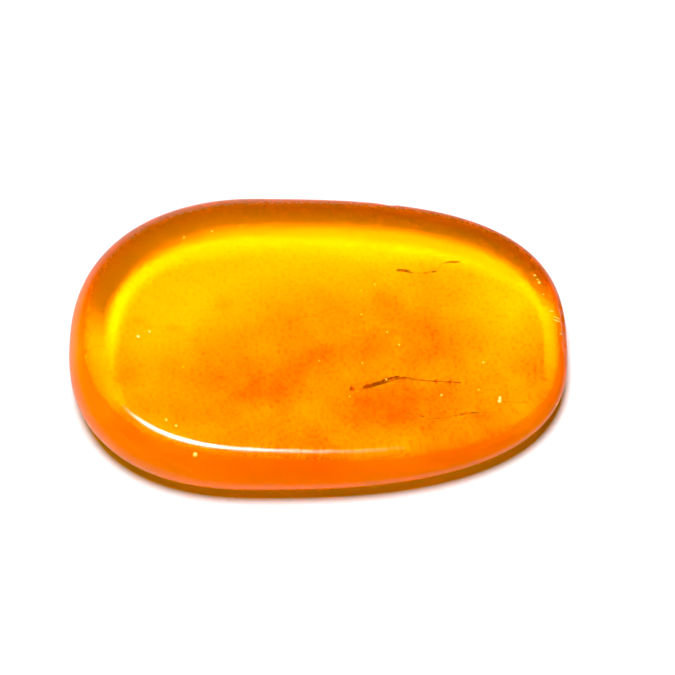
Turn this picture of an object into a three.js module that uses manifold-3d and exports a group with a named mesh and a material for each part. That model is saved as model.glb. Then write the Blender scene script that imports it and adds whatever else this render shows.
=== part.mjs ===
// Insect in amber: a polished, egg-shaped amber pebble that lies flat, with a slender
// insect and two plant threads sealed inside it.
// Millimetres, +Z up. The origin is under the middle of the stone, on the surface that it
// lies on. +X runs along the length to the narrower end, and +Y away from the fuller side.
// The amber is one piece of resin. It is parted in two at the height of its inclusions, so
// that each of them lies in a pocket between the halves.

import * as THREE from "three";
import { mergeVertices } from "three/addons/utils/BufferGeometryUtils.js";
import Module from "manifold-3d";

const wasm = await Module();
wasm.setup();

// Stone, seen from above: a quarter of a superellipse between each two of its four reaches
const REACH = { left: 13, right: 20.85, far: 11.62, near: 10.6 };
const FULLNESS = { farLeft: 2.23, nearLeft: 2.39, farRight: 2.86, nearRight: 2.54 };
const CENTRE_X = (REACH.left - REACH.right) / 2;
const CENTRE_Y = (REACH.near - REACH.far) / 2;

// Stone, seen from the side: a flat base, a rounded rim and a crowned top that falls to the
// narrower end. The top's rim is broad on the far side and tight on the near side.
const TOP_EDGE_HEIGHT = 4.6;
const TOP_SLOPE = -0.07;
const CROWN = 0.5;
const GIRDLE_HEIGHT = { left: 2.4, right: 1.8, far: 2.4, near: 2.2 };
const TOP_RIM = { left: 2.4, right: 1.6, far: 4.2, near: 1.8 };
const BASE_RIM = { left: 2.8, right: 2, far: 4.8, near: 1.7 };
const STONE_SEGMENTS = 88;
const RIM_STEPS = 6;
const CROWN_STEPS = 3;

// A shallow chip in the far rim
const CHIP = { radius: 0.4, place: [4.9, 10.77, 2.85] };

// Inclusions, all at the height where the stone is parted
const PARTING_HEIGHT = 2.6;
const INSECT_PLACE = [2.17, -4.33, PARTING_HEIGHT];
const POCKETS = [
  { centre: [5.79, -3.95], radius: 1.25, straight: 6.2, flatten: 0.66 },
  { centre: [7.6, 5.28], radius: 1.03, straight: 4, flatten: 0.6 },
  { centre: [8.67, -6.22], radius: 0.76, straight: 5.4, flatten: 0.7 },
];
const POCKET_CAP_SEGMENTS = 5;
const POCKET_SIDES = 16;

// Insect, from its head along +X. The line of its back bends up and over to the tail.
const HEAD = { place: [0.03, 0, 0], radii: [0.17, 0.13, 0.12] };
const NECK = { path: [[0.1, 0, 0], [0.4, 0.04, 0.02], [0.8, 0.08, 0.02]], radius: 0.04 };
const THORAX = { place: [1.05, 0.2, 0.02], radii: [0.36, 0.15, 0.17] };
const BACK = [[1.05, 0.2, 0.02], [1.7, 0.44, 0.03], [2.4, 0.76, 0.02], [3.2, 1.02, -0.02]];
const ABDOMEN = { rings: 6, start: 0.2, radius: 0.13, taper: 0.04, overlap: 1.35 };
const WING = { root: [0.95, 0.16, 0.12], length: 3, width: 0.62, thickness: 0.06, rootWidth: 0.12 };
const WING_TURN = { heading: 0.27, splay: 0.07, lean: 0.02 };
const EYE = { out: 0.1, forward: -0.06, up: 0.05, radius: 0.075 };

// Each leg or feeler is a chain of points. Its last stretches are thinner than its first.
const LEG_RADII = [0.05, 0.045, 0.04];
const FEELER_RADII = [0.04];
const HIND_LEGS = [
  [[1.25, 0.18, -0.07], [2.3, 0.62, -0.24], [3.5, 0.95, -0.12], [4.7, 0.73, 0], [7.4, 0.6, 0]],
  [[1.25, 0.3, -0.07], [2.5, 0.85, -0.22], [3.7, 0.84, -0.1], [5.0, 0.7, 0.06], [6.9, 0.9, 0.1]],
];
const MIDDLE_LEGS = [
  [[1.1, 0.15, -0.08], [1.9, 0.02, -0.26], [2.5, 0.3, -0.3], [2.9, 0.42, -0.3]],
  [[1.05, 0.27, -0.07], [1.55, 0.7, -0.2], [2.15, 1.0, -0.24], [2.5, 1.04, -0.25]],
];
const FRONT_LEGS = [
  [[0.88, 0.11, -0.06], [0.55, -0.16, -0.22], [0.25, -0.2, -0.26], [0.05, -0.12, -0.26]],
  [[0.88, 0.2, -0.06], [0.7, 0.46, -0.18], [0.4, 0.5, -0.22], [0.15, 0.4, -0.22]],
];
const FEELERS = [
  [[-0.05, -0.05, 0.08], [0.15, -0.18, 0.2], [0.5, -0.12, 0.24], [0.8, -0.06, 0.24]],
  [[-0.05, 0.05, 0.08], [0.1, 0.2, 0.2], [0.4, 0.34, 0.24], [0.75, 0.44, 0.24]],
];
const ANKLES = [[5.65, 0.68, 0], [6.6, 0.64, 0]];
const ANKLE_RADII = [0.16, 0.09, 0.09];
const SPUR = { reach: 0.2, radius: 0.035, lean: 0.05 };

// Plant threads, with a thicker knot wherever more of the fibre is left
const THREAD_RADIUS = 0.05;
const THREADS = [
  {
    name: "thread_far",
    path: [
      [5.35, 4.95, 0], [5.85, 4.93, 0.04], [6.4, 4.78, 0], [7.15, 4.8, -0.05],
      [8, 5, 0], [8.5, 5.6, 0.06], [9.1, 5.75, 0], [9.85, 5.75, -0.04],
    ],
    knots: [
      { at: 0.1, length: 0.5, radius: 0.12 },
      { at: 0.2, length: 0.42, radius: 0.09 },
      { at: 0.5, length: 0.5, radius: 0.1 },
      { at: 0.88, length: 0.55, radius: 0.08 },
    ],
  },
  {
    name: "thread_near",
    path: [
      [5.85, -6.12, 0], [6.6, -6.19, 0.04], [7, -6.41, 0], [7.45, -6.48, -0.06],
      [8.6, -6.36, 0], [9.75, -6.1, 0.05], [10.55, -6, 0], [11.45, -5.95, -0.04],
    ],
    knots: [
      { at: 0.2, length: 0.35, radius: 0.1 },
      { at: 0.69, length: 0.3, radius: 0.1 },
      { at: 0.84, length: 0.4, radius: 0.075 },
    ],
  },
];
const TUBE_SIDES = 5;
const TUBE_STEPS = 2;
const BEAD_SEGMENTS = [8, 5];
const JOINT_SWELL = 1.5;

const AMBER = new THREE.MeshStandardMaterial({
  color: 0xf59a0c,
  roughness: 0.12,
  metalness: 0,
  transparent: true,
  opacity: 0.55,
});
const CHITIN = new THREE.MeshStandardMaterial({ color: 0x3a1606, roughness: 0.5, metalness: 0 });
const FIBRE = new THREE.MeshStandardMaterial({ color: 0x6e2406, roughness: 0.8, metalness: 0 });

const vector = ([x, y, z]) => new THREE.Vector3(x, y, z);

// Booleans

function solid(geometry) {
  const bare = new THREE.BufferGeometry();
  bare.setAttribute("position", geometry.getAttribute("position"));
  bare.setIndex(geometry.index);
  const merged = mergeVertices(bare, 1e-4);
  return new wasm.Manifold(
    new wasm.Mesh({
      numProp: 3,
      vertProperties: new Float32Array(merged.getAttribute("position").array),
      triVerts: new Uint32Array(merged.index.array),
    }),
  );
}

function join(solids) {
  return solids.reduce((whole, piece) => whole.add(piece));
}

function node(name, shape, material) {
  const { vertProperties, triVerts } = shape.getMesh();
  const geometry = new THREE.BufferGeometry();
  geometry.setAttribute("position", new THREE.BufferAttribute(vertProperties, 3));
  geometry.setIndex(new THREE.BufferAttribute(triVerts, 1));
  geometry.computeVertexNormals();
  const mesh = new THREE.Mesh(geometry, material);
  mesh.name = name;
  return mesh;
}

// Amber

// The point of the stone's outline at an angle, and the outward normal there.
function outline(angle) {
  const c = Math.cos(angle);
  const s = Math.sin(angle);
  const a = c < 0 ? REACH.left : REACH.right;
  const b = s < 0 ? REACH.near : REACH.far;
  const n = FULLNESS[(s < 0 ? "near" : "far") + (c < 0 ? "Left" : "Right")];
  const radius = (Math.abs(c / a) ** n + Math.abs(s / b) ** n) ** (-1 / n);
  const point = new THREE.Vector2(radius * c, radius * s);
  const normal = new THREE.Vector2(
    (Math.sign(c) * Math.abs(point.x / a) ** (n - 1)) / a,
    (Math.sign(s) * Math.abs(point.y / b) ** (n - 1)) / b,
  ).normalize();
  return { point, normal };
}

// A value for a direction, between those of the four sides.
function between(sides, { x, y }) {
  return (x < 0 ? sides.left : sides.right) * x ** 2 + (y < 0 ? sides.near : sides.far) * y ** 2;
}

// Half of the stone's section, from the middle of the base to the middle of the top. Its
// first number runs from 0 in the middle to 1 at the rim's inner edge and 2 at the girdle.
// Its second is -1 at the base, 0 at the girdle, 1 at the top's edge and 2 on its crown.
function section() {
  const points = [new THREE.Vector2(0, -1)];
  for (let i = -RIM_STEPS; i <= RIM_STEPS; i++) {
    const turn = (Math.PI / 2) * (i / RIM_STEPS);
    points.push(new THREE.Vector2(1 + Math.cos(turn), Math.sin(turn)));
  }
  for (let i = CROWN_STEPS - 1; i >= 0; i--) {
    const out = i / CROWN_STEPS;
    points.push(new THREE.Vector2(out, 1 + (1 - out ** 2) ** 2));
  }
  return points;
}

// The section is turned about an upright axis, and each point is then moved to the egg.
function stone() {
  const geometry = new THREE.LatheGeometry(section(), STONE_SEGMENTS);
  geometry.rotateX(Math.PI / 2);
  const place = geometry.getAttribute("position");
  for (let i = 0; i < place.count; i++) {
    const x = place.getX(i);
    const y = place.getY(i);
    const level = place.getZ(i);
    const out = Math.hypot(x, y);
    const { point, normal } = outline(Math.atan2(y, x));
    const rim = between(level < 0 ? BASE_RIM : TOP_RIM, normal);
    point.addScaledVector(normal, -rim).multiplyScalar(Math.min(out, 1));
    const girdle = between(GIRDLE_HEIGHT, normal);
    const edge = TOP_EDGE_HEIGHT + TOP_SLOPE * point.x;
    const rise = level < 0 ? girdle * level : (edge - girdle) * Math.min(level, 1);
    point.addScaledVector(normal, rim * Math.max(out - 1, 0));
    const crown = CROWN * Math.max(level - 1, 0);
    place.setXYZ(i, point.x + CENTRE_X, point.y + CENTRE_Y, girdle + rise + crown);
  }
  const chip = new THREE.SphereGeometry(CHIP.radius, ...BEAD_SEGMENTS).translate(...CHIP.place);
  return solid(geometry).subtract(solid(chip));
}

function pocket({ centre, radius, straight, flatten }) {
  const room = new THREE.CapsuleGeometry(radius, straight, POCKET_CAP_SEGMENTS, POCKET_SIDES);
  room.rotateZ(Math.PI / 2).scale(1, 1, flatten).translate(...centre, PARTING_HEIGHT);
  return solid(room);
}

function amberHalves() {
  const whole = POCKETS.map(pocket).reduce((left, room) => left.subtract(room), stone());
  const size = 4 * REACH.right;
  const above = new THREE.BoxGeometry(size, size, size).translate(0, 0, PARTING_HEIGHT + size / 2);
  const below = new THREE.BoxGeometry(size, size, size).translate(0, 0, PARTING_HEIGHT - size / 2);
  return [
    node("amber_top", whole.intersect(solid(above)), AMBER),
    node("amber_base", whole.intersect(solid(below)), AMBER),
  ];
}

// Insect and threads

// An ellipsoid whose first radius lies along a direction.
function bead(place, radii, along = [1, 0, 0]) {
  const turn = new THREE.Quaternion().setFromUnitVectors(vector([1, 0, 0]), vector(along).normalize());
  const ball = new THREE.SphereGeometry(1, ...BEAD_SEGMENTS).scale(...radii);
  return solid(ball.applyQuaternion(turn).translate(...place));
}

function tube(curve, radius, steps) {
  const ring = new THREE.Shape();
  for (let i = 0; i < TUBE_SIDES; i++) {
    const angle = (2 * Math.PI * i) / TUBE_SIDES;
    ring[i ? "lineTo" : "moveTo"](radius * Math.cos(angle), radius * Math.sin(angle));
  }
  return solid(new THREE.ExtrudeGeometry(ring, { steps, bevelEnabled: false, extrudePath: curve }));
}

function spline(path) {
  return new THREE.CatmullRomCurve3(path.map(vector), false, "catmullrom", 0.5);
}

// A limb is one tube for each stretch between its points, with a bead at each joint.
function limb(path, radii) {
  const whole = spline(path);
  const stretches = path.length - 1;
  const pieces = [];
  for (let i = 0; i < stretches; i++) {
    const radius = radii[Math.min(i, radii.length - 1)];
    const points = [];
    for (let k = 0; k <= TUBE_STEPS; k++) {
      points.push(whole.getPoint((i + k / TUBE_STEPS) / stretches).toArray());
    }
    pieces.push(tube(spline(points), radius, TUBE_STEPS));
    if (i > 0) {
      pieces.push(solid(new THREE.IcosahedronGeometry(JOINT_SWELL * radius).translate(...path[i])));
    }
  }
  return join(pieces);
}

function abdomen() {
  const back = spline(BACK);
  const pitch = (1 - ABDOMEN.start) / ABDOMEN.rings;
  const rings = [];
  for (let i = 0; i < ABDOMEN.rings; i++) {
    const share = ABDOMEN.start + (i + 0.5) * pitch;
    const thick = ABDOMEN.radius - (ABDOMEN.taper * i) / (ABDOMEN.rings - 1);
    const long = (back.getLength() * pitch * ABDOMEN.overlap) / 2;
    const place = back.getPointAt(share).toArray();
    rings.push(bead(place, [long, thick, thick], back.getTangentAt(share).toArray()));
  }
  return join(rings);
}

// A wing lies flat over the back, turned a little to its own side.
function wing(side) {
  const { root, length, width, thickness, rootWidth } = WING;
  const { heading, splay, lean } = WING_TURN;
  const leaf = new THREE.Shape();
  leaf.moveTo(0, -rootWidth / 2);
  leaf.bezierCurveTo(0.3 * length, -0.6 * width, 0.75 * length, -0.75 * width, length, -0.1 * width);
  leaf.bezierCurveTo(1.02 * length, 0.2 * width, 0.5 * length, 0.45 * width, 0, rootWidth / 2);
  const blade = new THREE.ExtrudeGeometry(leaf, { depth: thickness, bevelEnabled: false, curveSegments: 6 });
  blade.rotateX(side * lean).rotateZ(heading + side * splay);
  return solid(blade.translate(...root));
}

// The pair of spurs that stand out sideways from a hind ankle.
function spurs([x, y, z]) {
  return [-SPUR.reach, SPUR.reach].map((reach) => {
    const path = [[x, y, z], [x + SPUR.lean, y + reach / 2, z], [x + 2 * SPUR.lean, y + reach, z]];
    return tube(spline(path), SPUR.radius, TUBE_STEPS);
  });
}

function insect() {
  const eyes = [-1, 1].map((side) => {
    const [x, y, z] = HEAD.place;
    const size = [EYE.radius, EYE.radius, EYE.radius];
    return bead([x + EYE.forward, y + side * EYE.out, z + EYE.up], size);
  });
  const body = [
    bead(HEAD.place, HEAD.radii),
    tube(spline(NECK.path), NECK.radius, TUBE_STEPS),
    bead(THORAX.place, THORAX.radii, vector(BACK[1]).sub(vector(BACK[0])).toArray()),
    abdomen(),
  ];
  const legs = [...FRONT_LEGS, ...MIDDLE_LEGS, ...HIND_LEGS].map((path) => limb(path, LEG_RADII));
  const feelers = FEELERS.map((path) => limb(path, FEELER_RADII));
  const ankles = ANKLES.flatMap((place) => [bead(place, ANKLE_RADII), ...spurs(place)]);
  const whole = join([...body, ...eyes, wing(-1), wing(1), ...legs, ...feelers, ...ankles]);
  const mesh = node("insect", whole, CHITIN);
  mesh.position.set(...INSECT_PLACE);
  return mesh;
}

function thread({ name, path, knots }) {
  const line = spline(path);
  const thick = knots.map(({ at, length, radius }) => {
    return bead(line.getPointAt(at).toArray(), [length, radius, radius], line.getTangentAt(at).toArray());
  });
  const fibre = tube(line, THREAD_RADIUS, TUBE_STEPS * (path.length - 1));
  const mesh = node(name, join([fibre, ...thick]), FIBRE);
  mesh.position.z = PARTING_HEIGHT;
  return mesh;
}

const insectInAmber = new THREE.Group();
insectInAmber.add(...amberHalves(), insect(), ...THREADS.map(thread));

export default insectInAmber;
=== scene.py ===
"""Insect in amber: a polished, egg-shaped amber pebble with a slender insect and two plant
threads sealed inside it, lying on white paper under one round lamp overhead."""

import math

import bpy
import numpy as np
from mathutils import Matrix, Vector, noise


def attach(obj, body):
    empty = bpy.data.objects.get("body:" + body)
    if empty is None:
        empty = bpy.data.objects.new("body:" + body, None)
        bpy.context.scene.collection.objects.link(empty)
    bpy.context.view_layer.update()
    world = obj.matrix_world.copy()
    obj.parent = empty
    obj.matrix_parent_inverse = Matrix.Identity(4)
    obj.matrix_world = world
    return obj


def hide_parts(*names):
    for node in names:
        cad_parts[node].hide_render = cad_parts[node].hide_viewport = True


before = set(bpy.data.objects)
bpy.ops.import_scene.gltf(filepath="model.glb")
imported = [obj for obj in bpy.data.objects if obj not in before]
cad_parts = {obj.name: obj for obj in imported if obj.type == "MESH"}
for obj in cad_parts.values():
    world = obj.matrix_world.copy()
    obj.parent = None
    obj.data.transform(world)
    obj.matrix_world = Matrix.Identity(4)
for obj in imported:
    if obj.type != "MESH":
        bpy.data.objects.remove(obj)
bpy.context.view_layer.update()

MM = 0.001

# Stone, in millimetres. The four sides are far (+Y), near (-Y), left (-X) and right (+X).
REACH = {"left": 13.0, "right": 20.85, "far": 11.62, "near": 10.6}
FULLNESS = {"far_left": 2.23, "near_left": 2.39, "far_right": 2.86, "near_right": 2.54}
CENTRE = np.array([(REACH["left"] - REACH["right"]) / 2, (REACH["near"] - REACH["far"]) / 2])
# The top: the height of its edge at the middle, its fall towards the right, and its slight dome
TOP_EDGE_HEIGHT = 4.6
TOP_SLOPE = -0.07
CROWN = 0.5
# The girdle is the widest line around the stone. The rims round over above and below it.
GIRDLE_HEIGHT = {"left": 2.4, "right": 1.8, "far": 2.4, "near": 2.2}
TOP_RIM = {"left": 2.4, "right": 1.6, "far": 4.2, "near": 1.8}
BASE_RIM = {"left": 2.8, "right": 2.0, "far": 4.8, "near": 1.7}
# How finely the stone is drawn
SEGMENTS = 480
RIM_STEPS = 40
FLAT_STEPS = 24

# Hand polishing leaves the surface faintly uneven: size across and height of the swells, and
# the height below which they fade towards the flat base
SWELL_SIZE = 4.5
SWELL_HEIGHT = 0.035
SWELL_FADE = 1.5

# Dents in the rim, which are the chip at the far side and worn places along the narrow end:
# place, reach and depth. A dent goes inwards, and down by a share of its depth.
DENT_DROP = 0.5
DENTS = [
    ((4.9, 10.72, 2.8), 0.42, 0.2),
    ((4.4, 10.75, 2.88), 0.3, 0.1),
    ((16.6, 2.4, 2.7), 0.35, 0.1),
    ((16.75, 1.5, 2.6), 0.3, 0.12),
    ((16.8, 0.7, 2.7), 0.35, 0.1),
    ((16.8, -0.6, 2.6), 0.4, 0.08),
    ((15.9, 5.2, 2.9), 0.4, 0.1),
    ((15.5, 6.0, 3.0), 0.3, 0.08),
]

# Height of all inclusions above the base
INCLUSION_HEIGHT = 2.6

# Insect, measured from its head. Head, eyes and thorax: place and radii.
INSECT_PLACE = np.array([2.17, -4.33, INCLUSION_HEIGHT])
HEAD = ((0.03, 0, 0), (0.17, 0.13, 0.12))
EYES = [((-0.03, y, 0.05), (0.075, 0.075, 0.075)) for y in (-0.1, 0.1)]
THORAX = ((1.05, 0.2, 0.02), (0.36, 0.15, 0.17))
NECK = [(0.1, 0, 0), (0.4, 0.04, 0.02), (0.8, 0.08, 0.02)]
NECK_RADIUS = 0.03
BACK = [(1.05, 0.2, 0.02), (1.7, 0.44, 0.03), (2.4, 0.76, 0.02), (3.2, 1.02, -0.02)]
# The abdomen's rings start a share of the way along the back, and each is thinner than the last
ABDOMEN_START = 0.2
ABDOMEN_RINGS = 6
RING_HALF_LENGTH = 0.21
RING_RADIUS = 0.13
RING_TAPER = 0.04
# Legs and feelers, from joint to joint. The first two legs are the hind legs.
LEG_RADII = (0.045, 0.04, 0.04)
LEGS = [
    [(1.25, 0.18, -0.07), (2.3, 0.62, -0.24), (3.5, 0.95, -0.12), (4.7, 0.73, 0), (7.4, 0.6, 0)],
    [(1.25, 0.3, -0.07), (2.5, 0.85, -0.22), (3.7, 0.84, -0.1), (5.0, 0.7, 0.06), (6.9, 0.9, 0.1)],
    [(1.1, 0.15, -0.08), (1.9, 0.02, -0.26), (2.5, 0.3, -0.3), (2.9, 0.42, -0.3)],
    [(1.05, 0.27, -0.07), (1.55, 0.7, -0.2), (2.15, 1.0, -0.24), (2.5, 1.04, -0.25)],
    [(0.88, 0.11, -0.06), (0.55, -0.16, -0.22), (0.25, -0.2, -0.26), (0.05, -0.12, -0.26)],
    [(0.88, 0.2, -0.06), (0.7, 0.46, -0.18), (0.4, 0.5, -0.22), (0.15, 0.4, -0.22)],
]
FEELERS = [
    [(-0.05, -0.05, 0.08), (0.15, -0.18, 0.2), (0.5, -0.12, 0.24), (0.8, -0.06, 0.24)],
    [(-0.05, 0.05, 0.08), (0.1, 0.2, 0.2), (0.4, 0.34, 0.24), (0.75, 0.44, 0.24)],
]
FEELER_RADIUS = 0.03
# Ankles along the first hind leg, each with a spur to either side
ANKLES = [(5.65, 0.68, 0), (6.6, 0.64, 0)]
ANKLE_RADII = (0.16, 0.09, 0.09)
SPUR_REACH = 0.2
SPUR_LEAN = 0.1
SPUR_RADIUS = 0.035
# Wings: both are swept back by a turn, then spread and lifted a little apart
WING_ROOT = (0.95, 0.16, 0.15)
WING_LENGTH = 3.0
WING_WIDTH = 0.62
WING_SWEEP = 0.27
WING_SPREAD = 0.07
WING_LIFT = 0.02
# Numbers of the insect's three materials
BODY, WING, LIMB = 0, 1, 2

# Plant threads: the path, then knots with their share of the way along, half length and radius
THREAD_RADIUS = 0.035
FRAY = 0.4
FRAY_SIZE = 0.2
THREADS = {
    "thread_far": (
        [
            (5.35, 4.95, 0), (5.85, 4.93, 0.04), (6.4, 4.78, 0), (7.15, 4.8, -0.05),
            (8, 5, 0), (8.5, 5.6, 0.06), (9.1, 5.75, 0), (9.85, 5.75, -0.04),
        ],
        [(0.1, 0.5, 0.12), (0.2, 0.42, 0.09), (0.5, 0.5, 0.1), (0.88, 0.55, 0.08)],
    ),
    "thread_near": (
        [
            (5.85, -6.12, 0), (6.6, -6.19, 0.04), (7, -6.41, 0), (7.45, -6.48, -0.06),
            (8.6, -6.36, 0), (9.75, -6.1, 0.05), (10.55, -6, 0), (11.45, -5.95, -0.04),
        ],
        [(0.2, 0.35, 0.1), (0.69, 0.3, 0.1), (0.84, 0.4, 0.075)],
    ),
}

# Hairline cracks: how thick they are, how far they jog to the side and how long a jog is
CRACK_RADIUS = 0.016
CRACK_JOG = 0.06
CRACK_JOG_SIZE = 0.25
CRACKS = [
    [(-2.58, 0.34), (-1.37, 0.97), (-0.49, 1.14), (0.66, 1.75), (1.54, 1.93)],
    [(12.1, -5.1), (13.2, -5.2), (14.1, -5.1)],
]

# Gas bubbles that polishing has cut open, drawn as pale caps that are painted glints: a place
# close to the surface, and the radius. What is left of each is a cap, as deep as a share of its
# radius.
CAP_DEPTH = 0.3
GLINT_BUBBLES = [
    ((-12.06, -1.43, 5.37), 0.13), ((-11.34, -1.05, 5.38), 0.1), ((-9.0, -3.72, 5.36), 0.08),
    ((-10.03, -7.66, 5.11), 0.1), ((-9.36, -8.08, 5.06), 0.1), ((-8.07, -9.86, 4.37), 0.16),
    ((2.92, 2.69, 4.57), 0.08), ((3.81, 3.25, 4.43), 0.09), ((2.91, 0.74, 4.71), 0.07),
    ((4.65, -0.55, 4.51), 0.07), ((5.45, -1.5, 4.41), 0.08), ((0.09, -3.02, 4.94), 0.07),
    ((2.96, -3.01, 4.65), 0.08), ((4.56, -4.17, 4.41), 0.07), ((8.22, -5.14, 3.94), 0.09),
    ((12.15, -5.14, 3.57), 0.12), ((12.11, -5.39, 3.53), 0.15), ((11.1, -2.49, 3.71), 0.09),
    ((10.71, -4.63, 3.7), 0.08), ((2.09, -5.53, 4.53), 0.07), ((-9.22, 6.57, 5.02), 0.1),
    ((-7.33, 7.14, 4.88), 0.09), ((14.77, 4.56, 3.1), 0.1), ((14.95, 4.25, 3.1), 0.08),
    ((15.05, 3.99, 3.05), 0.11), ((15.3, 3.06, 3.1), 0.07), ((-7.05, 7.5, 4.4), 0.05),
    ((-5.3, 7.6, 4.3), 0.06), ((-3.9, 7.7, 4.3), 0.05), ((-1.3, 7.6, 4.2), 0.06),
    ((0.8, 7.4, 4.1), 0.05), ((2.3, 7.2, 4.1), 0.06), ((3.6, 7.1, 4.0), 0.05),
]

# Pale dashes across the rim of the narrow end, which are painted glints: place and half length
GLINT_DASH_RADIUS = 0.06
GLINT_DASHES = [
    ((16.2, 1.34, 3.03), 0.3), ((16.2, 1.1, 3.03), 0.36),
    ((15.86, 1.76, 3.18), 0.2), ((16.47, 0.17, 2.82), 0.15),
]

# Old skin left on the underside: one wide veil, and clouds in it. Each is an oval with its
# place, its reach along and across, and its strength.
VEIL = ((2.5, -5.0), (15.5, 12.0), 1.0)
CLOUDS = [
    ((-9.5, -2.5), (6.0, 4.5), 0.25),
    ((9.5, 6.2), (6.0, 3.6), 0.4),
    ((7.5, 0.8), (6.5, 4.5), 0.25),
    ((8.5, -5.0), (6.0, 3.0), 0.3),
    ((-14.4, -3.0), (3.5, 4.5), 0.65),
    ((15.5, -1.0), (3.0, 5.0), 0.6),
    ((-11.4, -5.0), (3.0, 1.6), 0.35),
    ((-4.4, -3.4), (4.0, 2.2), 0.32),
    ((-2.0, -2.0), (4.0, 2.4), 0.3),
    ((0.6, -0.4), (4.5, 2.4), 0.2),
    ((3.4, -4.4), (4.0, 2.2), 0.4),
    ((-0.5, -7.0), (6.0, 2.6), 0.2),
    ((-6.7, 2.8), (1.0, 0.6), 0.3),
    ((-9.8, 1.6), (1.0, 0.6), 0.3),
    ((-12.4, 1.2), (1.0, 0.6), 0.3),
]


def linear(colour):
    """A colour given as sRGB hex, in the linear light that shaders work in."""
    values = [int(colour[i : i + 2], 16) / 255 for i in (1, 3, 5)]
    return (*[v / 12.92 if v <= 0.04045 else ((v + 0.055) / 1.055) ** 2.4 for v in values], 1)


def add(tree, kind, inputs=(), **settings):
    """Adds a shader node. Each input is a plain value, or another node's output to link."""
    node = tree.nodes.new("ShaderNode" + kind)
    for name, value in settings.items():
        setattr(node, name, value)
    for name, value in dict(inputs).items():
        if isinstance(value, bpy.types.NodeSocket):
            tree.links.new(value, node.inputs[name])
        else:
            node.inputs[name].default_value = value
    return node


def new_material(name):
    material = bpy.data.materials.new(name)
    material.use_nodes = True
    tree = material.node_tree
    place = add(tree, "TexCoord").outputs["Object"]
    in_mm = add(tree, "VectorMath", {0: place, "Scale": 1 / MM}, operation="SCALE").outputs[0]
    return material, tree, tree.nodes["Principled BSDF"], in_mm


def speckled(name, size, dark, pale, detail=2):
    """A material whose colour wanders between two, in specks of a size in millimetres."""
    material, tree, shader, place = new_material(name)
    specks = {"Vector": place, "Scale": 1 / size, "Detail": detail}
    speck = add(tree, "TexNoise", specks).outputs[0]
    inputs = {0: speck, 6: linear(dark), 7: linear(pale)}
    colour = add(tree, "Mix", inputs, data_type="RGBA").outputs[2]
    tree.links.new(colour, shader.inputs["Base Color"])
    return material, tree, shader, speck


def make(name, parts, materials, slot, *nodes):
    """A mesh from parts, each of them vertices in millimetres, faces and a material's number."""
    vertices, faces, numbers = [], [], []
    for part_vertices, part_faces, number in parts:
        start = len(vertices)
        vertices.extend((np.asarray(part_vertices) * MM).tolist())
        faces.extend([tuple(start + i for i in face) for face in part_faces])
        numbers.extend([number] * len(part_faces))
    mesh = bpy.data.meshes.new(name)
    mesh.from_pydata(vertices, [], faces)
    mesh.polygons.foreach_set("material_index", numbers)
    mesh.shade_smooth()
    for material in materials:
        mesh.materials.append(material)
    piece = bpy.data.objects.new(name, mesh)
    bpy.context.collection.objects.link(piece)
    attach(piece, "root")
    if nodes:
        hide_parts(*nodes)
    return piece


# Shapes


def strip_faces(rows, count, closed=True):
    """Quads between rows of points that follow each other."""
    faces = []
    for row in range(rows - 1):
        for i in range(count if closed else count - 1):
            j = (i + 1) % count
            a, b = row * count, (row + 1) * count
            faces.append((a + i, a + j, b + j, b + i))
    return faces


def spline(path, steps=8):
    """Points along a smooth curve through the path's points."""
    points = np.asarray(path, float)
    ends = [2 * points[0] - points[1], *points, 2 * points[-1] - points[-2]]
    out = []
    for a, b, c, d in zip(ends, ends[1:], ends[2:], ends[3:]):
        for t in np.arange(steps) / steps:
            bend = (2 * a - 5 * b + 4 * c - d) * t**2 + (3 * b - a - 3 * c + d) * t**3
            out.append(b + 0.5 * ((c - a) * t + bend))
    return np.array([*out, points[-1]])


def tube(points, radii, sides=10, number=0):
    """A closed round tube along points, with a radius at each of them."""
    points = np.asarray(points)
    ahead = np.gradient(points, axis=0)
    ahead /= np.linalg.norm(ahead, axis=1)[:, None]
    across = np.cross(ahead, (0.0, 0.0, 1.0))
    across /= np.linalg.norm(across, axis=1)[:, None]
    up = np.cross(across, ahead)
    turn = np.linspace(0, 2 * np.pi, sides, endpoint=False)
    radii = np.broadcast_to(radii, len(points))
    rings = [
        p + r * (np.outer(np.cos(turn), a) + np.outer(np.sin(turn), u))
        for p, r, a, u in zip(points, radii, across, up)
    ]
    faces = strip_faces(len(rings), sides)
    last = (len(rings) - 1) * sides
    faces += [tuple(range(sides))[::-1], tuple(range(last, last + sides))]
    return np.concatenate(rings), faces, number


def bead(place, radii, along=(1, 0, 0), number=0, rings=10, sides=16):
    """An ellipsoid whose first radius lies along a direction."""
    steps = np.linspace(0, np.pi, rings + 1)[1:-1]
    turn = np.linspace(0, 2 * np.pi, sides, endpoint=False)
    shell = [
        np.column_stack(
            [np.full(sides, -np.cos(s)), np.sin(s) * np.cos(turn), np.sin(s) * np.sin(turn)]
        )
        for s in steps
    ]
    points = np.concatenate([*shell, [[-1, 0, 0], [1, 0, 0]]]) * radii
    spin = Vector((1, 0, 0)).rotation_difference(Vector(along).normalized()).to_matrix()
    faces = [face[::-1] for face in strip_faces(len(shell), sides)]
    first, last = len(points) - 2, len(points) - 1
    end = (len(shell) - 1) * sides
    for i in range(sides):
        j = (i + 1) % sides
        faces += [(first, j, i)[::-1], (last, end + i, end + j)[::-1]]
    return points @ np.array(spin).T + np.asarray(place), faces, number


# Amber


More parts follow.
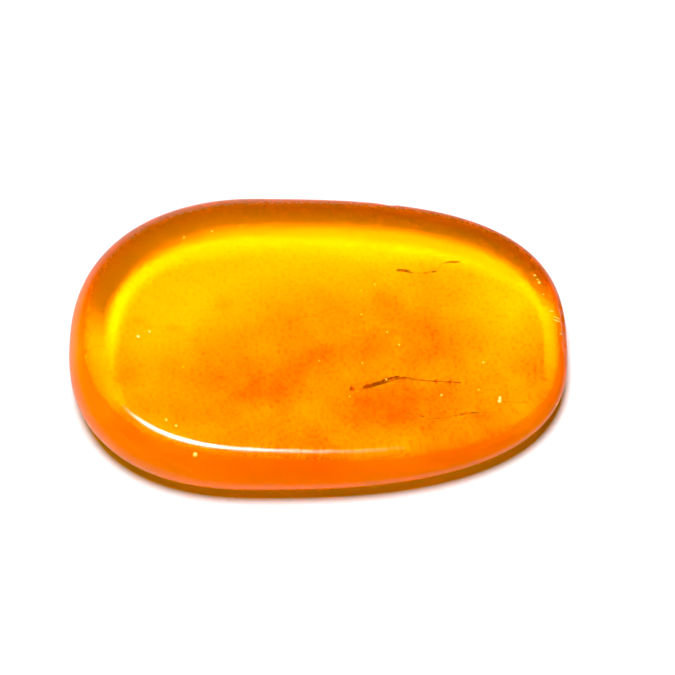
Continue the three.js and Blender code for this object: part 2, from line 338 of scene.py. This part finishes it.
def outline(angle):
    """The stone's outline at an angle, about its middle, and the outward normal there."""
    c, s = math.cos(angle), math.sin(angle)
    a = REACH["left" if c < 0 else "right"]
    b = REACH["near" if s < 0 else "far"]
    n = FULLNESS[("near" if s < 0 else "far") + ("_left" if c < 0 else "_right")]
    radius = (abs(c / a) ** n + abs(s / b) ** n) ** (-1 / n)
    point = np.array([radius * c, radius * s])
    normal = np.array(
        [
            math.copysign(abs(point[0] / a) ** (n - 1) / a, c),
            math.copysign(abs(point[1] / b) ** (n - 1) / b, s),
        ]
    )
    return point, normal / np.linalg.norm(normal)


def between(sides, normal):
    """A value for a direction, between those of the four sides."""
    x, y = normal
    return sides["left" if x < 0 else "right"] * x**2 + sides["near" if y < 0 else "far"] * y**2


def section():
    """Half of the stone's section: how far out, 1 at the rim's inner edge and 2 at the girdle,
    and how high, -1 at the base, 0 at the girdle, 1 at the top's edge and 2 on the crown."""
    points = [(out, -1) for out in np.arange(1, FLAT_STEPS) / FLAT_STEPS]
    for i in range(-RIM_STEPS, RIM_STEPS + 1):
        turn = math.pi / 2 * i / RIM_STEPS
        points.append((1 + math.cos(turn), math.sin(turn)))
    for out in 1 - np.arange(1, FLAT_STEPS) / FLAT_STEPS:
        points.append((out, 1 + (1 - out**2) ** 2))
    return points


def stone_point(angle, out, level):
    point, normal = outline(angle)
    rim = between(BASE_RIM if level < 0 else TOP_RIM, normal)
    inner = (point - rim * normal) * min(out, 1)
    girdle = between(GIRDLE_HEIGHT, normal)
    edge = TOP_EDGE_HEIGHT + TOP_SLOPE * inner[0]
    rise = girdle * level if level < 0 else (edge - girdle) * min(level, 1)
    place = inner + rim * max(out - 1, 0) * normal + CENTRE
    return (*place, girdle + rise + CROWN * max(level - 1, 0))


def polish(points):
    """Sinks the swells of hand polishing and the rim's dents into the stone's surface."""
    middle = np.array([*CENTRE, 0])
    for i, point in enumerate(points):
        swell = noise.noise(Vector(point / SWELL_SIZE)) * SWELL_HEIGHT
        up = min(point[2] / SWELL_FADE, 1)
        inward = (middle - point) * (1, 1, 0)
        inward /= max(np.linalg.norm(inward), 1e-6)
        sink = np.array([0, 0, swell * up])
        for place, reach, depth in DENTS:
            near = 1 - np.linalg.norm(point - place) / reach
            if near > 0:
                sink = sink + depth * min(2 * near, 1) * (inward - (0, 0, DENT_DROP))
        points[i] = point + sink
    return points


def amber_stone():
    angles = np.linspace(0, 2 * math.pi, SEGMENTS, endpoint=False)
    half = section()
    rows = [[stone_point(a, out, level) for a in angles] for out, level in half]
    base = stone_point(0, 0, -1)
    top = stone_point(0, 0, 2)
    points = polish(np.array([p for row in rows for p in row] + [base, top]))
    faces = strip_faces(len(rows), SEGMENTS)
    low, high, last = len(points) - 2, len(points) - 1, (len(rows) - 1) * SEGMENTS
    for i in range(SEGMENTS):
        j = (i + 1) % SEGMENTS
        faces += [(low, j, i), (high, last + i, last + j)]
    return make("amber_stone", [(points, faces, 0)], [amber()], "amber", "amber_top", "amber_base")


def spots(tree, place, clouds):
    """How much soft oval clouds cover a place, seen from above."""
    total, endless = None, 1e6
    for (x, y), (along, across), strength in clouds:
        inputs = {"Vector": place, "Location": (x, y, 0), "Scale": (along, across, endless)}
        oval = add(tree, "Mapping", inputs, vector_type="TEXTURE").outputs[0]
        fade = add(tree, "TexGradient", {"Vector": oval}, gradient_type="SPHERICAL").outputs[1]
        share = add(tree, "Math", {0: fade, 1: strength}, operation="MULTIPLY").outputs[0]
        total = share if total is None else add(tree, "Math", {0: total, 1: share}).outputs[0]
    return total


def old_skin(tree, place):
    """How much old skin covers a place on the underside, and the grain in it. A veil and clouds
    have wandering edges and are patchy, and the grain shows as dots. The grit that a ground face
    really has is finer than the picture shows, so the grain is drawn as coarse as it needs."""
    wander_size, wander, patch_size, grain_size = 3.33, 3, 2.22, 0.25
    drift = {"Vector": place, "Scale": 1 / wander_size, "Detail": 1.5}
    warp = add(tree, "TexNoise", drift).outputs[1]
    inputs = {0: warp, 1: (wander, wander, 0), 2: place}
    bent = add(tree, "VectorMath", inputs, operation="MULTIPLY_ADD").outputs[0]
    inputs = {0: bent, 1: (-wander / 2, -wander / 2, 0)}
    moved = add(tree, "VectorMath", inputs, operation="ADD").outputs[0]
    wide = spots(tree, moved, [VEIL])
    veil = add(tree, "MapRange", {0: wide, 1: 0.03, 2: 0.35, 3: 0, 4: 0.5}).outputs[0]
    cover = add(tree, "Math", {0: veil, 1: spots(tree, moved, CLOUDS)}).outputs[0]
    inputs = {"Vector": place, "Scale": 1 / patch_size, "Detail": 3, "Roughness": 0.5}
    mottle = add(tree, "TexNoise", inputs).outputs[0]
    patches = add(tree, "MapRange", {0: mottle, 1: 0.3, 2: 0.7, 3: 0.75, 4: 1.2}).outputs[0]
    cloud = add(tree, "Math", {0: cover, 1: patches}, operation="MULTIPLY").outputs[0]
    inputs = {"Vector": place, "Scale": 1 / grain_size, "Detail": 4, "Roughness": 0.7}
    grain = add(tree, "TexNoise", inputs).outputs[0]
    dots = add(tree, "MapRange", {0: grain, 1: 0.5, 2: 0.75, 3: 0, 4: 0.7}).outputs[0]
    return add(tree, "Math", {0: cloud, 1: dots}, use_clamp=True).outputs[0], grain


def painted_rim_shade(tree, place):
    """Painted shade on the rim, for the longer way light takes through it: golden on the near
    side, orange from the middle to the far side.
    """
    across = add(tree, "SeparateXYZ", {0: place}).outputs[1]
    away = add(tree, "MapRange", {0: across, 1: -7, 2: -1, 3: 0, 4: 1}).outputs[0]
    inputs = {0: away, 6: linear("#f09a10"), 7: linear("#ff7000")}
    return add(tree, "Mix", inputs, data_type="RGBA").outputs[2]


def amber_tint(tree, place, under, side, skin):
    """Pale gold on the top, paler still on the underside but reddish under old skin, and deeper
    in colour around the rim, which is painted shade; no old skin is laid on the rim."""
    inner = add(tree, "Math", {0: 1, 1: side}, operation="SUBTRACT").outputs[0]
    marks = add(tree, "Math", {0: skin, 1: inner}, operation="MULTIPLY").outputs[0]
    inputs = {0: marks, 6: linear("#fff8d8"), 7: linear("#dc4806")}
    clouded = add(tree, "Mix", inputs, data_type="RGBA").outputs[2]
    inputs = {0: under, 6: linear("#ffe868"), 7: clouded}
    flat = add(tree, "Mix", inputs, data_type="RGBA").outputs[2]
    inputs = {0: side, 6: flat, 7: painted_rim_shade(tree, place)}
    return add(tree, "Mix", inputs, data_type="RGBA").outputs[2]


def amber():
    """Fossil resin, polished by hand: clear and golden, deeper orange where the eye looks through
    more of it, and worn duller around the rim, whose deeper orange colour is painted shade. Its
    underside is ground, not polished, and keeps reddish clouds of old skin."""
    material, tree, shader, place = new_material("amber")
    # under is 1 on the flat base alone, and side 1 on the rim and 0 where the stone lies level
    height = add(tree, "SeparateXYZ", {0: place}).outputs[2]
    under = add(tree, "MapRange", {0: height, 1: 0.02, 2: 0.25, 3: 1, 4: 0}).outputs[0]
    facing = add(tree, "SeparateXYZ", {0: add(tree, "NewGeometry").outputs["Normal"]}).outputs[2]
    level = add(tree, "Math", {0: facing}, operation="ABSOLUTE").outputs[0]
    side = add(tree, "MapRange", {0: level, 1: 0.8, 2: 0.99, 3: 1, 4: 0}).outputs[0]
    skin, grain = old_skin(tree, place)
    # The colour holds painted shade: a deeper orange wherever side is 1, on the rim
    colour = amber_tint(tree, place, under, side, skin)
    scuff_size, ground_dull, rim_dull, pit_depth, ridge_height = 0.4, 0.2, 0.15, 0.003, 0.03
    inputs = {"Vector": place, "Scale": 1 / scuff_size, "Detail": 3}
    wear = add(tree, "TexNoise", inputs).outputs[0]
    gloss = add(tree, "MapRange", {0: wear, 1: 0.3, 2: 0.7, 3: 0.13, 4: 0.22}).outputs[0]
    inputs = {0: under, 1: ground_dull, 2: gloss}
    ground = add(tree, "Math", inputs, operation="MULTIPLY_ADD").outputs[0]
    inputs = {0: side, 1: rim_dull, 2: ground}
    worn = add(tree, "Math", inputs, operation="MULTIPLY_ADD").outputs[0]
    pits = add(tree, "Math", {0: wear, 1: pit_depth}, operation="MULTIPLY").outputs[0]
    ridges = add(tree, "Math", {0: grain, 1: ridge_height}, operation="MULTIPLY").outputs[0]
    uneven = add(tree, "Mix", {0: under, 2: pits, 3: ridges}).outputs[0]
    bump = add(tree, "Bump", {"Strength": 1, "Distance": MM, "Height": uneven}).outputs[0]
    tree.links.new(colour, shader.inputs["Base Color"])
    tree.links.new(worn, shader.inputs["Roughness"])
    tree.links.new(bump, shader.inputs["Normal"])
    shader.inputs["IOR"].default_value = 1.54
    shader.inputs["Transmission Weight"].default_value = 0.96
    depth = {"Color": linear("#feeb1d"), "Density": 326}
    absorb = add(tree, "VolumeAbsorption", depth).outputs[0]
    tree.links.new(absorb, tree.nodes["Material Output"].inputs["Volume"])
    return material


def on_surface(stone, place):
    """The point of the stone's surface that is nearest to a place, and the normal there."""
    _, spot, normal, _ = stone.closest_point_on_mesh(Vector(place) * MM)
    return np.array(spot) / MM, normal


def glint_specks(stone):
    """Small bubbles that polishing has cut open, each a shallow pale cap in the surface, and pale
    dashes across the rim: both are painted glints."""
    parts = []
    for place, radius in GLINT_BUBBLES:
        spot, normal = on_surface(stone, place)
        cap = (CAP_DEPTH * radius, radius, radius)
        parts.append(bead(spot, cap, normal, rings=8, sides=12))
    for place, half_length in GLINT_DASHES:
        spot, normal = on_surface(stone, place)
        dash = (half_length, GLINT_DASH_RADIUS, GLINT_DASH_RADIUS)
        across = Vector((1, 0, 0)) - normal.x * normal
        parts.append(bead(spot, dash, across, rings=8, sides=12))
    return make("painted_glint_specks", parts, [painted_glint_skin()], "amber")


def painted_glint_skin():
    """Painted glint: pale yellow specks standing in for the sparkle of open bubbles and of the
    rim.
    """
    material, _, shader, _ = speckled("painted_glint_skin", 1 / 6, "#fff0a0", "#ffe060")
    shader.inputs["Roughness"].default_value = 0.2
    return material


def cracks():
    parts = []
    for path in CRACKS:
        line = spline([(x, y, INCLUSION_HEIGHT) for x, y in path])
        line[:, 1] += [noise.noise(Vector(p / CRACK_JOG_SIZE)) * CRACK_JOG for p in line]
        parts.append(tube(line, CRACK_RADIUS, sides=6))
    return make("hairline_cracks", parts, [crack_stain()], "amber")


def crack_stain():
    """Brown stain that has crept along a hairline crack: dark and matt."""
    material, _, shader, _ = speckled("crack_stain", 0.2, "#7a3208", "#a4550f")
    shader.inputs["Roughness"].default_value = 0.7
    return material


# Insect and threads


def limb(path, radii, number):
    """A jointed leg or feeler: each stretch thickens at its joints."""
    steps, joint_steps, joint_swell = 10, 1.5, 0.5
    line = spline(path, steps)
    at = np.arange(len(line))
    stretch = np.minimum(at // steps, len(radii) - 1)
    along = (at % steps) / steps
    from_joint = np.minimum(along, 1 - along) * steps / joint_steps
    swell = 1 + joint_swell * np.maximum(0, 1 - from_joint)
    thick = np.array([radii[i] for i in stretch]) * swell
    return tube(line, thick, 8, number)


def insect_body():
    """Everything but the wings. The first hind leg shows as dark as the body."""
    back = spline(BACK, 12)
    parts = [bead(*HEAD), tube(spline(NECK), NECK_RADIUS, 8, LIMB)]
    parts.append(bead(*THORAX, np.subtract(BACK[1], BACK[0])))
    for i in range(ABDOMEN_RINGS):
        share = ABDOMEN_START + (1 - ABDOMEN_START) * (i + 0.5) / ABDOMEN_RINGS
        k = int(share * (len(back) - 1))
        thick = RING_RADIUS - RING_TAPER * i / (ABDOMEN_RINGS - 1)
        parts.append(bead(back[k], (RING_HALF_LENGTH, thick, thick), back[k + 1] - back[k]))
    parts += [bead(*eye) for eye in EYES]
    parts += [limb(path, LEG_RADII, BODY if i == 0 else LIMB) for i, path in enumerate(LEGS)]
    parts += [limb(path, (FEELER_RADIUS,), LIMB) for path in FEELERS]
    for x, y, z in ANKLES:
        parts.append(bead((x, y, z), ANKLE_RADII))
        for reach in (-SPUR_REACH, SPUR_REACH):
            middle, tip = (x + SPUR_LEAN / 2, y + reach / 2, z), (x + SPUR_LEAN, y + reach, z)
            parts.append(tube(spline([(x, y, z), middle, tip]), SPUR_RADIUS, sides=6))
    return parts


def wing(side):
    """A thin leaf that lies over the back, turned a little to its own side."""
    rows, across, curl, ripple = 24, 9, 0.06, 0.015
    points = []
    for i in range(rows):
        u = i / (rows - 1)
        leaf = (0.2 + math.sin(math.pi * u**0.8) ** 0.7) * (1 - 0.5 * u**6)
        half = WING_WIDTH / 2 * leaf
        for v in np.linspace(-1, 1, across):
            points.append((WING_LENGTH * u, half * v - curl * u, ripple * math.cos(6 * v)))
    turn = WING_SWEEP + side * WING_SPREAD
    c, s = math.cos(turn), math.sin(turn)
    spin = np.array([[c, -s, 0], [s, c, 0], [0, 0, 1]])
    root = np.array([*WING_ROOT[:2], WING_ROOT[2] + WING_LIFT * side])
    return np.array(points) @ spin.T + root, strip_faces(rows, across, closed=False), WING


def insect():
    parts = [*insect_body(), wing(-1), wing(1)]
    placed = [(np.asarray(v) + INSECT_PLACE, faces, number) for v, faces, number in parts]
    body = chitin("body_cuticle", "#b01202", "#c42402", solid=0.8)
    limbs = chitin("limb_cuticle", "#b02002", "#c83804", solid=0.06)
    materials = [body, wing_membrane(), limbs]
    return make("insect_in_detail", placed, materials, "insect_chitin", "insect")


def chitin(name, dark, pale, solid):
    """Insect cuticle: reddish brown, clearer where it is thin. Resin bends light as it does,
    so it has no shine."""
    material, tree, shader, speck = speckled(name, 1 / 3, dark, pale, detail=3)
    inputs = {0: speck, 1: 0.3, 2: 0.7, 3: solid, 4: 0.85 * solid}
    cover = add(tree, "MapRange", inputs).outputs[0]
    tree.links.new(cover, shader.inputs["Alpha"])
    shader.inputs["IOR"].default_value = 1.56
    shader.inputs["Specular IOR Level"].default_value = 0
    shader.inputs["Roughness"].default_value = 0.6
    return material


def wing_membrane():
    """A gnat's wing: clear film, a little smoky, with darker veins along it."""
    material, tree, shader, place = new_material("wing_membrane")
    vein_spacing = 0.196
    # A wave of scale 1 has ten bands in pi millimetres
    scale = math.pi / 10 / vein_spacing
    lines = {"Vector": place, "Scale": scale, "Distortion": 1.5, "Detail": 1}
    veins = add(tree, "TexWave", lines, bands_direction="Y").outputs[1]
    solid = add(tree, "MapRange", {0: veins, 1: 0.75, 2: 0.95, 3: 0.02, 4: 0.12}).outputs[0]
    inputs = {0: veins, 6: linear("#b85a18"), 7: linear("#a83008")}
    colour = add(tree, "Mix", inputs, data_type="RGBA").outputs[2]
    tree.links.new(colour, shader.inputs["Base Color"])
    tree.links.new(solid, shader.inputs["Alpha"])
    shader.inputs["Specular IOR Level"].default_value = 0
    shader.inputs["Roughness"].default_value = 0.4
    return material


def thread(name, path, knots):
    """A broken plant fibre: a faint strand, with darker knots where more of it is left."""
    line = spline(np.array(path) + (0, 0, INCLUSION_HEIGHT))
    ahead = np.gradient(line, axis=0)
    frays = [noise.noise(Vector(p / FRAY_SIZE)) for p in line]
    radii = [THREAD_RADIUS * (1 + FRAY * fray) for fray in frays]
    parts = [tube(line, radii, sides=8, number=1)]
    for at, reach, radius in knots:
        k = round(at * (len(line) - 1))
        parts.append(bead(line[k], (reach, radius, radius), ahead[k]))
    materials = [fibre("fibre_knot", solid=0.5), fibre("fibre_strand", solid=0.3)]
    return make(name + "_in_detail", parts, materials, "plant_fibre", name)


def fibre(name, solid):
    """Old plant fibre soaked with resin: reddish brown and matt, nearly clear where it frays."""
    material, tree, shader, speck = speckled(name, 0.5, "#b01402", "#cc2c04", detail=3)
    inputs = {0: speck, 1: 0.35, 2: 0.65, 3: solid, 4: 0.3 * solid}
    cover = add(tree, "MapRange", inputs).outputs[0]
    tree.links.new(cover, shader.inputs["Alpha"])
    shader.inputs["Roughness"].default_value = 0.85
    shader.inputs["Specular IOR Level"].default_value = 0
    return material


# Stage, light and camera


def paper():
    """Plain white paper: matt, with hardly any grain."""
    material, _, shader, _ = speckled("paper", 1 / 3, "#f3f3f3", "#f5f5f5")
    shader.inputs["Roughness"].default_value = 1
    shader.inputs["Specular IOR Level"].default_value = 0
    return material


def floor():
    # A hair below the base, so that paper and stone don't share a plane
    half, low = 600, -0.03
    corners = [(-half, -half, low), (half, -half, low), (half, half, low), (-half, half, low)]
    mesh = bpy.data.meshes.new("floor")
    mesh.from_pydata([tuple(v * MM for v in corner) for corner in corners], [], [(0, 1, 2, 3)])
    mesh.materials.append(paper())
    sheet = bpy.data.objects.new("floor", mesh)
    bpy.context.collection.objects.link(sheet)


def lamp():
    """One round lamp overhead, a little to the left, 20 degrees wide as the stone sees it."""
    distance, half_angle, lean = 0.6, math.radians(10), math.radians(4)
    radius = distance * math.tan(half_angle)
    # As bright as it takes for paper of this whiteness to show this much light
    paper_light, paper_white = 1.06, 0.9
    radiance = paper_light / paper_white / math.sin(half_angle) ** 2
    light = bpy.data.lights.new("lamp", "AREA")
    light.shape = "DISK"
    light.size = 2 * radius
    light.energy = radiance * math.pi**2 * radius**2
    lit = bpy.data.objects.new("lamp", light)
    bpy.context.collection.objects.link(lit)
    towards = Vector((-math.sin(lean), 0, math.cos(lean)))
    lit.location = distance * towards
    lit.rotation_euler = (-towards).to_track_quat("-Z", "Y").to_euler()


def sky():
    """The little light that the room itself sheds on the paper."""
    light = bpy.data.lights.new("sky", "SUN")
    light.energy = 0.17
    light.angle = math.radians(120)
    bpy.context.collection.objects.link(bpy.data.objects.new("sky", light))


def room():
    """A white room: seen in and through the stone, too far off to light the paper."""
    world = bpy.data.worlds.new("room")
    world.use_nodes = True
    background = world.node_tree.nodes["Background"]
    background.inputs["Color"].default_value = linear("#ffffff")
    background.inputs["Strength"].default_value = 0.55
    world.cycles_visibility.diffuse = False
    bpy.context.scene.world = world


def camera():
    rise, distance, aim = math.radians(60), 0.2, Vector((1.277, 0.017, 2.6)) * MM
    ahead = Vector((0, math.cos(rise), -math.sin(rise)))
    data = bpy.data.cameras.new("camera")
    data.sensor_width = 36
    data.lens = 156.9
    data.clip_start = 0.001
    eye = bpy.data.objects.new("camera", data)
    bpy.context.collection.objects.link(eye)
    eye.location = aim - distance * ahead
    eye.rotation_euler = ahead.to_track_quat("-Z", "Y").to_euler()
    bpy.context.scene.camera = eye


def picture():
    """Light paths long enough for clear resin, and the photo's deep, saturated orange."""
    scene = bpy.context.scene
    scene.cycles.max_bounces = 16
    scene.cycles.transmission_bounces = 16
    scene.cycles.diffuse_bounces = 6
    scene.cycles.glossy_bounces = 8
    scene.cycles.caustics_refractive = True
    scene.cycles.caustics_reflective = True
    scene.cycles.blur_glossy = 0
    scene.cycles.sample_clamp_indirect = 0
    view = scene.view_settings
    view.view_transform = "Standard"
    view.use_curve_mapping = True
    # Takes the last blue, and a little green, out of the orange
    view.curve_mapping.black_level = (0, 0.015, 0.08)
    view.curve_mapping.update()


camera()
glint_specks(amber_stone())
cracks()
insect()
for thread_name, (thread_path, thread_knots) in THREADS.items():
    thread(thread_name, thread_path, thread_knots)
floor()
lamp()
sky()
room()
picture()
